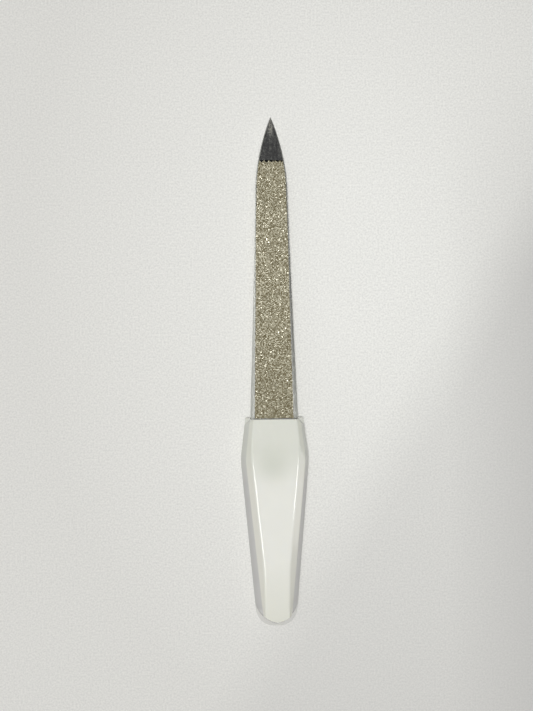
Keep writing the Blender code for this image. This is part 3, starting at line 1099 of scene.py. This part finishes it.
@dataclass
class Handle:
    """The plastic moulding: a table with an inner facet and a steep band on each side, and a web.

    Its methods give half widths at depths from the mouth, and heights over mid thickness. The
    facet lines are numbered: 0 is the band's foot, 1 its top and 2 the table's edge.
    """

    datum: Datum
    blade: Blade
    cheek_wall: float = 1.36 * MILLIMETRE
    crossing_width: float = 17.5 * MILLIMETRE
    tail_width: float = 10.85 * MILLIMETRE
    widest_depth: float = 10.1 * MILLIMETRE
    widest_blend: float = 2.2 * MILLIMETRE
    tail_depth: float = 5.2 * MILLIMETRE
    tail_roundness: float = 2.55
    mouth_corner: float = 0.35 * MILLIMETRE
    web_lead: float = 0.42 * MILLIMETRE
    facet_lead: float = 0.2 * MILLIMETRE
    half_thickness: float = 2.6 * MILLIMETRE
    mouth_half_thickness: float = 2.0 * MILLIMETRE
    web_half: float = 0.6 * MILLIMETRE
    web_ledge: float = 0.03 * MILLIMETRE
    parting_line: float = 0.02 * MILLIMETRE
    band_mouth_run: float = 0.98 * MILLIMETRE
    band_tail_run: float = 1.6 * MILLIMETRE
    band_rise_share: float = 0.65
    facet_mouth_run: float = 1.1 * MILLIMETRE
    facet_run: float = 1.85 * MILLIMETRE
    facet_opening_power: float = 2.5
    table_tail_width: float = 6.0 * MILLIMETRE
    mouth_cut_widths: tuple = (1.35 * MILLIMETRE, 0.45 * MILLIMETRE, 0.2 * MILLIMETRE)
    mouth_cut_depths: tuple = (1.25 * MILLIMETRE, 0.5 * MILLIMETRE, 0.3 * MILLIMETRE)
    wall_runs: tuple = (0.0, 0.7 * MILLIMETRE, 1.2 * MILLIMETRE)
    tail_ledge: float = 0.57 * MILLIMETRE
    arch_width: float = 11.2 * MILLIMETRE
    arch_depth: float = 7.1 * MILLIMETRE
    arch_shoulder: float = 2.3
    arch_roundness: float = 0.7
    line_shift: float = 0.26 * MILLIMETRE
    crease_power: float = 40.0
    line_rounding: float = 0.01 * MILLIMETRE
    web_rounding: float = 0.2 * MILLIMETRE
    foot_rounding: float = 0.06 * MILLIMETRE
    band_rounding: float = 0.18 * MILLIMETRE
    end_rounding: float = 0.12 * MILLIMETRE
    side_rounding: float = 0.42 * MILLIMETRE
    inner_inset: float = 1.05 * MILLIMETRE
    rounding_steps: int = 6
    softening_run: float = 3.0 * MILLIMETRE
    slot_clearance: float = 0.06 * MILLIMETRE
    slot_overshoot: float = 2.0 * MILLIMETRE
    lip_gap: float = 0.02 * MILLIMETRE
    lip_reach: float = 3.0 * MILLIMETRE
    lip_clearance: float = 0.1 * MILLIMETRE
    across_cells: int = 28
    cut_points: int = 12
    side_points: int = 190
    arch_points: int = 44
    searched_points: int = 4001
    smoothing_reach: int = 3
    smoothing_width: float = 1.1
    sharp_angle: float = radians(35)

    @property
    def tail_start(self) -> float:
        """The depth where the web's tail begins to round."""
        return self.datum.handle_length - self.tail_depth

    @property
    def arch_start(self) -> float:
        """The depth where the facets' pointed arch begins."""
        return self.datum.handle_length - self.tail_ledge - self.arch_depth

    def past_widest(self, depth: Array) -> Array:
        """How far depths lie past the widest line, its start rounded over the blend.

        Args:
            depth: Depths from the mouth.

        Returns:
            The distances, none below zero.
        """
        reach = depth - self.widest_depth + self.widest_blend
        rounded = np.clip(reach, 0, 2 * self.widest_blend) ** 2 / (4 * self.widest_blend)
        return np.where(reach < 2 * self.widest_blend, rounded, depth - self.widest_depth)

    def side_half(self, depth: Array) -> Array:
        """Half the handle's width between its two straight sides.

        Args:
            depth: Depths from the mouth.

        Returns:
            Half widths.
        """
        mouth_width = self.blade.heel_width + 2 * self.cheek_wall
        opening = (self.crossing_width - mouth_width) / 2 / self.widest_depth
        closing = (self.crossing_width - self.tail_width) / 2 / (self.tail_start - self.widest_depth)
        past = self.past_widest(depth)
        return mouth_width / 2 + opening * (depth - past) - closing * past

    def foot_half(self, depth: Array) -> Array:
        """Half the width where the band meets the web."""
        return self.side_half(depth) - self.web_ledge

    def band_half(self, depth: Array) -> Array:
        """Half the width where the band meets the inner facet."""
        widening = (self.band_tail_run - self.band_mouth_run) * depth / self.tail_start
        return self.side_half(depth) - self.band_mouth_run - widening

    def table_half(self, depth: Array) -> Array:
        """Half the table's width, which follows the band and then keeps its width.

        Args:
            depth: Depths from the mouth.

        Returns:
            Half widths.
        """
        share = np.maximum((depth - self.past_widest(depth)) / self.widest_depth, 0)
        opening = share ** self.facet_opening_power
        run = self.facet_mouth_run + (self.facet_run - self.facet_mouth_run) * opening
        narrow, least = self.band_half(depth) - run, self.table_tail_width / 2
        small, large = np.minimum(narrow, least), np.maximum(narrow, least)
        return large * (1 + (small / large) ** self.crease_power) ** (1 / self.crease_power)

    def table_height(self, depth: Array) -> Array:
        """Height of the table over mid thickness."""
        rise = (self.half_thickness - self.mouth_half_thickness) / self.widest_depth
        return self.mouth_half_thickness + rise * (depth - self.past_widest(depth))

    def band_height(self, depth: Array) -> Array:
        """Height of the line between the band and the inner facet."""
        return self.web_half + (self.table_height(depth) - self.web_half) * self.band_rise_share

    def tail_half(self, depth: Array) -> Array:
        """Half the web's width, which closes at the tail as a superellipse of its roundness."""
        along = np.clip((depth - self.tail_start) / self.tail_depth, 0, 1)
        return self.side_half(depth) * (1 - along ** self.tail_roundness) ** (1 / self.tail_roundness)

    def arch_half(self, depth: Array, wall_run: float) -> Array:
        """Half the arch's width: one minus the share along it to its shoulder's power, to its roundness."""
        along = np.clip((depth - self.arch_start) / (self.arch_depth - wall_run), 0, 1)
        return self.arch_width / 2 * (1 - along ** self.arch_shoulder) ** self.arch_roundness

    def arch_corner(self, half_width: Callable, wall_run: float = 0.0, inset: float = 0.0) -> float:
        """The depth where a side meets its arch, read off a fine table of depths.

        Args:
            half_width: The side's half width at depths.
            wall_run: How far the arch's point lies ahead of the outermost one.
            inset: How far the side lies within its line.

        Returns:
            The depth.
        """
        arch_end = self.arch_start + self.arch_depth - wall_run
        depth = np.linspace(self.arch_start, arch_end, self.searched_points)
        gap = self.arch_half(depth, wall_run) - half_width(depth) + inset
        return float(np.interp(0, -gap, depth))

    def depths(self, start: float, join: float, end: float) -> Array:
        """Depths of a side's points, even up to the join and then as a sine, closer towards the end."""
        even = np.linspace(start, join, self.side_points + 2)[1:-1]
        return np.append(even, join + (end - join) * np.sin(np.linspace(0, pi / 2, self.arch_points)))

    def web_outline(self) -> Array:
        """The web's side: a quarter-round corner, the straight side and a rounded tail.

        Returns:
            Half widths and depths from the mouth to the end, shaped (points, 2).
        """
        angle = np.linspace(0, pi / 2, self.cut_points)
        turn = self.mouth_corner * (1 - np.cos(angle)) - self.web_lead
        corner = np.column_stack([self.side_half(turn) - self.mouth_corner * (1 - np.sin(angle)), turn])
        join = self.arch_corner(self.band_half)
        depth = self.depths(self.mouth_corner - self.web_lead, join, self.datum.handle_length)
        return np.concatenate([corner, np.column_stack([self.tail_half(depth), depth])])

    def facet_outline(self, line: int, inset: float = 0.0) -> Array:
        """A facet line's side: a cut across the mouth's corner, its side and a pointed arch.

        Args:
            line: The facet line's number.
            inset: How far the outline lies within its line all round.

        Returns:
            Half widths and depths from the mouth to the end, shaped (points, 2).
        """
        half_width = (self.foot_half, self.band_half, self.table_half)[line]
        wall_run = self.wall_runs[line] + inset
        mouth, cut_end = self.web_ledge + inset - self.facet_lead, self.mouth_cut_depths[line] + inset
        start, end = half_width(np.array([mouth, cut_end])) - inset
        cut = np.linspace((start - self.mouth_cut_widths[line], mouth), (end, cut_end), self.cut_points)
        join = self.arch_corner(half_width if line else self.band_half, wall_run, inset)
        depth = self.depths(cut_end, join, self.arch_start + self.arch_depth - wall_run)
        side = half_width(depth) - inset
        arched = np.minimum(side, self.arch_half(depth, wall_run))
        half = np.where(depth < self.arch_start, side, arched)
        return np.concatenate([cut, np.column_stack([half, depth])])

    def ring(self, outline: Array, shift: float = 0.0) -> Array:
        """Close one side's outline into a ring and soften its corners.

        The ring runs across the mouth, down the right side, round the tail and up the left side.
        Each point then becomes the bell-weighted mean of its neighbours.

        Args:
            outline: Half widths and depths of one side.
            shift: How far the ring is moved to the right.

        Returns:
            Points in plan, shaped (ring points, 2), x and depth.
        """
        across = np.linspace(-outline[0, 0], outline[0, 0], self.across_cells + 1)[1:-1]
        mouth = np.column_stack([across, np.full_like(across, outline[0, 1])])
        ring = np.concatenate([mouth, outline, outline[-2::-1] * [-1, 1]])
        offsets = np.arange(-self.smoothing_reach, self.smoothing_reach + 1)
        weights = np.exp(-0.5 * (offsets / self.smoothing_width) ** 2)
        weights /= weights.sum()
        mean = sum(weight * np.roll(ring, offset, axis=0) for weight, offset in zip(weights, offsets))
        return mean + [shift, 0]

    def surface(self) -> Array:
        """The front half's rings from the parting line up to the rounded edge of the table.

        Returns:
            Points measured from the mouth, shaped (ring points, levels, 3).
        """
        web, foot = self.ring(self.web_outline()), self.ring(self.facet_outline(0))
        band, table = (self.ring(self.facet_outline(line), self.line_shift) for line in (1, 2))
        inner = self.ring(self.facet_outline(2, self.inner_inset), self.line_shift)
        inward = unit(np.roll(web, -1, axis=0) - np.roll(web, 1, axis=0)) @ np.array([[0, 1], [-1, 0]])
        trimmed = web + inward * self.parting_line
        corners = [
            raised(web, 0.0),
            raised(trimmed, self.parting_line * 2),
            raised(trimmed, self.web_half),
            raised(foot, self.web_half),
            raised(band, self.band_height(band[:, 1])),
            raised(table, self.table_height(table[:, 1])),
            raised(inner, self.table_height(inner[:, 1])),
        ]
        fixed = (self.line_rounding, self.web_rounding, self.foot_rounding, self.band_rounding)
        cuts = np.column_stack([np.tile(fixed, (len(table), 1)), self.crease_rounding(table[:, 1])])
        return rounded_profiles(np.stack(corners, axis=1), cuts, self.rounding_steps)[:, :-1]

    def crease_rounding(self, depth: Array) -> Array:
        """How far the table's crease is rounded: broadly along the sides, finely at mouth and tail.

        The share of the broad rounding rises as a smooth step behind the mouth and falls as one
        before the arch's corner.

        Args:
            depth: Depths from the mouth.

        Returns:
            The rounding's length at each depth.
        """
        left = self.arch_corner(self.table_half, self.wall_runs[2]) - depth
        rising, falling = np.clip(np.stack([depth, left]) / self.softening_run, 0, 1)
        share = (3 - 2 * rising) * rising ** 2 * (3 - 2 * falling) * falling ** 2
        return self.end_rounding + (self.side_rounding - self.end_rounding) * share

    def build(self) -> Thing:
        """Make the moulding's shell, both halves and both tables, and cut the tang's slot.

        The point attribute named level says how high a point lies between web and table.

        Returns:
            The handle's object.
        """
        front = self.surface().transpose(1, 0, 2)
        rings = np.concatenate([front[:0:-1] * [1, 1, -1], front])
        points, numbers = rings.reshape(-1, 3), point_numbers(rings)
        faces = ring_quads(numbers[:-1], numbers[1:])
        for row, face in ((0, Face.BACK), (-1, Face.FRONT)):
            inner, table_faces = self.table(rings[row], numbers[row], len(points), face)
            points = np.concatenate([points, inner])
            faces += table_faces
        handle = new_object("plastic_handle", self.datum.place(points), faces)
        combine(handle, self.slot_cutter(), Joining.CUT)
        shade(handle, self.sharp_angle)
        _, y, z = read(handle.data.vertices, "co", 3).T
        table = self.table_height(np.clip(self.datum.mouth_y - y, 0, self.datum.handle_length))
        above_web = np.abs(z - self.datum.middle_z) - self.web_half
        store(handle, "level", np.clip(above_web / (table - self.web_half), 0, 1))
        return handle

    def table(self, ring: Array, ring_numbers: Array, first: int, face: Face) -> tuple[Array, list]:
        """Fill a ring with strips from its left side to its right side.

        Args:
            ring: The ring's points.
            ring_numbers: Their numbers.
            first: The number that the new points start at.
            face: The face that the table lies on.

        Returns:
            The points inside the ring, and the faces.
        """
        cells, side_count = self.across_cells, self.cut_points + self.side_points + self.arch_points
        right = cells - 1 + np.arange(side_count)
        left = -1 - np.arange(side_count - 1)
        share = np.linspace(0, 1, cells + 1)[1:-1, None]
        start, end = ring[left[1:], None], ring[right[1:-1], None]
        inner = start + (end - start) * share
        inner[..., 2] = face.value * self.table_height(-inner[..., 1])
        numbers = np.empty((side_count - 1, cells + 1), int)
        numbers[:, 0], numbers[:, -1] = ring_numbers[left], ring_numbers[right[:-1]]
        numbers[0, 1:-1] = ring_numbers[:cells - 1]
        numbers[1:, 1:-1] = point_numbers(inner, first)
        last, tail = numbers[-1].tolist(), int(ring_numbers[right[-1]])
        faces = sheet_quads(numbers) + [[near, far, tail] for near, far in zip(last[:-1], last[1:])]
        return inner.reshape(-1, 3), faces

    def slot_cutter(self) -> Thing:
        """The tang's slot, with the post left out.

        It is square-edged at the mouth, so that the blade's bevels leave dark gaps. Ahead of the
        facets it is as high as the web, so that the web stands only beside the blade.

        Returns:
            The cutter's object.
        """
        rear = self.blade.rear() + self.slot_clearance
        wide = rear[0, 0]
        half, depth = np.vstack([(wide, -self.slot_overshoot), rear]).T
        high = np.full_like(half, self.blade.thickness / 2 + self.slot_clearance)
        corners = [(half, high), (-half, high), (-half, -high), (half, -high)]
        cutter = lofted("slot", self.datum.place(sections(corners, -depth)))
        near, far = self.facet_lead - self.lip_gap, self.lip_reach
        top = self.web_half + self.lip_clearance
        lip = np.array([(-wide, near), (wide, near), (wide, far), (-wide, far)])
        combine(cutter, prism("lip", lip, self.datum, -top, top), Joining.JOIN)
        combine(cutter, self.blade.anchor(self.slot_clearance), Joining.CUT)
        return cutter


@dataclass
class Paper:
    """The pale sheet that the file lies on, which isn't part of it."""

    half_size: float = 2.0
    cells: int = 8

    def build(self) -> Thing:
        """Make the sheet as a flat grid at the height where the handle's back rests.

        Returns:
            The paper's object.
        """
        line = np.linspace(-self.half_size, self.half_size, self.cells + 1)
        across, along = np.meshgrid(line, line)
        points = np.stack([across, along, np.zeros_like(across)], axis=-1)
        return new_object("paper", points, sheet_quads(point_numbers(points)), closed=False)


class Reach(Enum):
    """What a lamp is for: its image in glossy surfaces, or the soft light that it spreads."""

    MIRRORED = "mirrored"
    SPREAD = "spread"


@dataclass(frozen=True)
class Softbox:
    """An area light aimed at the file from a direction given in degrees from straight up.

    Where pieces are named, it lights those alone.
    """

    name: str
    sideways: float
    lengthways: float
    distance: float
    width: float
    length: float
    radiance: float
    reach: Reach
    lit: tuple[str, ...] = ()

    def build(self) -> None:
        """Hang the light, with its power worked out from its radiance and its area."""
        data = bpy.data.lights.new(self.name, "AREA")
        data.shape = "RECTANGLE"
        data.size, data.size_y = self.width, self.length
        data.energy = self.radiance * pi * self.width * self.length
        data.color = LIGHT_COLOUR
        lamp = bpy.data.objects.new(self.name, data)
        lamp.visible_glossy = self.reach is Reach.MIRRORED
        lamp.visible_diffuse = self.reach is Reach.SPREAD
        direction = Vector((tan(radians(self.sideways)), tan(radians(self.lengthways)), 1.0)).normalized()
        across = Vector((0.0, 1.0, 0.0)).cross(direction).normalized()
        lamp.location = direction * self.distance
        lamp.rotation_euler = Matrix((across, direction.cross(across), direction)).transposed().to_euler()
        bpy.context.scene.collection.objects.link(lamp)
        if self.lit:
            pieces = bpy.data.collections.new(f"{self.name}_pieces")
            for name in self.lit:
                pieces.objects.link(bpy.data.objects[name])
            lamp.light_linking.receiver_collection = pieces


@dataclass
class Studio:
    """Camera, lights and surroundings, with angles in degrees.

    The side glow runs from the bright side to the dim one, and each reach from the angle where a
    patch of the dome starts to the one where it is full.
    """

    datum: Datum
    focal_length: float = 27.03
    sensor: float = 36.0
    nearest_shown: float = 5.0 * MILLIMETRE
    camera_height: float = 0.137
    camera_x: float = -1.76 * MILLIMETRE
    camera_y: float = 4.07 * MILLIMETRE
    roll: float = -0.73
    dim_side: tuple = (0.72, -0.69, 0.0)
    side_edge: float = 0.8
    side_glows: tuple = (0.204, 0.036)
    overhead_glow: float = 0.33
    overhead_lean: float = -4.0
    overhead_reach: tuple = (42.0, 28.0)
    opening_lengthways: float = 22.0
    opening_reach: tuple = (14.0, 8.0)
    opening_share: float = 0.165
    lights: tuple = (
        Softbox("left_strip", -23.0, -21.5, 0.6, 0.11, 0.15, 5.4, Reach.MIRRORED),
        Softbox("right_strip", 23.0, -17.5, 0.6, 0.11, 0.125, 5.6, Reach.MIRRORED),
        Softbox("right_panel", 46.0, -22.0, 0.6, 0.09, 0.24, 1.4, Reach.MIRRORED),
        Softbox("left_bevel_light", -36.0, 4.0, 0.6, 0.12, 0.2, 0.35, Reach.MIRRORED),
        Softbox("left_tip_light", -36.0, 20.5, 0.6, 0.12, 0.13, 2.3, Reach.MIRRORED),
        Softbox("sparkle_light", -8.0, 10.0, 0.6, 0.17, 0.17, 8.0, Reach.MIRRORED, GRIT_NAMES),
        Softbox("left_wash", -65.0, -15.0, 0.6, 0.12, 0.2, 1.4, Reach.SPREAD),
        Softbox("camera_fill", -3.0, 1.0, 0.8, 0.16, 0.16, 55.0, Reach.SPREAD),
    )

    def build(self) -> None:
        """Set up the view, the lights and the dome."""
        camera = bpy.data.cameras.new("camera")
        camera.lens, camera.sensor_width = self.focal_length, self.sensor
        camera.clip_start = self.nearest_shown
        viewer = bpy.data.objects.new("camera", camera)
        viewer.location = (self.camera_x, self.camera_y, self.datum.middle_z + self.camera_height)
        viewer.rotation_euler = (0.0, 0.0, radians(self.roll))
        scene = bpy.context.scene
        scene.collection.objects.link(viewer)
        scene.camera = viewer
        for light in self.lights:
            light.build()
        self.build_dome()
        scene.view_settings.view_transform = "Standard"
        scene.view_settings.look = "None"

    def build_dome(self) -> None:
        """Surround the file with soft light: bright overhead, with a dark opening that the tip mirrors."""
        world = bpy.data.worlds.new("dome")
        world.use_nodes = True
        bpy.context.scene.world = world
        bench = NodeBench(world.node_tree)
        direction = bench.add("TexCoord", output="Generated")
        sideways = bench.toward(direction, self.dim_side)
        side = bench.span(sideways, -self.side_edge, self.side_edge, *self.side_glows)
        lean, opening = radians(self.overhead_lean), radians(self.opening_lengthways)
        near, full = np.cos(np.radians(self.overhead_reach)).tolist()
        upward = bench.toward(direction, (sin(lean), 0.0, cos(lean)))
        overhead = bench.span(upward, near, full, 0.0, self.overhead_glow)
        near, full = np.cos(np.radians(self.opening_reach)).tolist()
        mirrored = bench.toward(direction, (0.0, sin(opening), cos(opening)))
        kept = bench.span(mirrored, near, full, 1.0, self.opening_share)
        background = world.node_tree.nodes["Background"].inputs
        bench.fill(background["Strength"], bench.times(bench.plus(side, overhead), kept))
        bench.fill(background["Color"], (*LIGHT_COLOUR, 1.0))


def dress(piece: Thing, material: Material, node: str) -> None:
    """Give a piece its material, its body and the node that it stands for.

    Args:
        piece: The piece's object.
        material: Its finish.
        node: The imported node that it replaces.
    """
    piece.data.materials.clear()
    piece.data.materials.append(material)
    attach(piece, BODY)
    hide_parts(node)
    triangles = sum(len(face.vertices) - 2 for face in piece.data.polygons)
    log.info("%s stands for %s: %d triangles", piece.name, node, triangles)


def main() -> None:
    """Build and dress every piece, then the stage."""
    logging.basicConfig(level=logging.INFO, format="%(name)s: %(message)s")
    datum = Datum.of_packed_parts()
    effects = SharedEffects()
    blade = Blade(datum)
    handle = Handle(datum, blade)
    dress(blade.build(), PolishedSteel().make(effects, datum), "blade")
    front_name, back_name = GRIT_NAMES
    front = GritCoat(front_name, blade, Face.FRONT, seed=5)
    dress(front.build(), PlatedGrit("front_grit").make(effects, datum), "grit_front")
    back = GritCoat(back_name, blade, Face.BACK, seed=8)
    dress(back.build(), PlatedGrit("back_grit").make(effects, datum), "grit_back")
    dress(handle.build(), MilkyPlastic().make(effects, datum), "handle")
    paper = Paper().build()
    paper.data.materials.append(PalePaper().make(effects))
    Studio(datum).build()


if __name__ == "__main__":
    main()
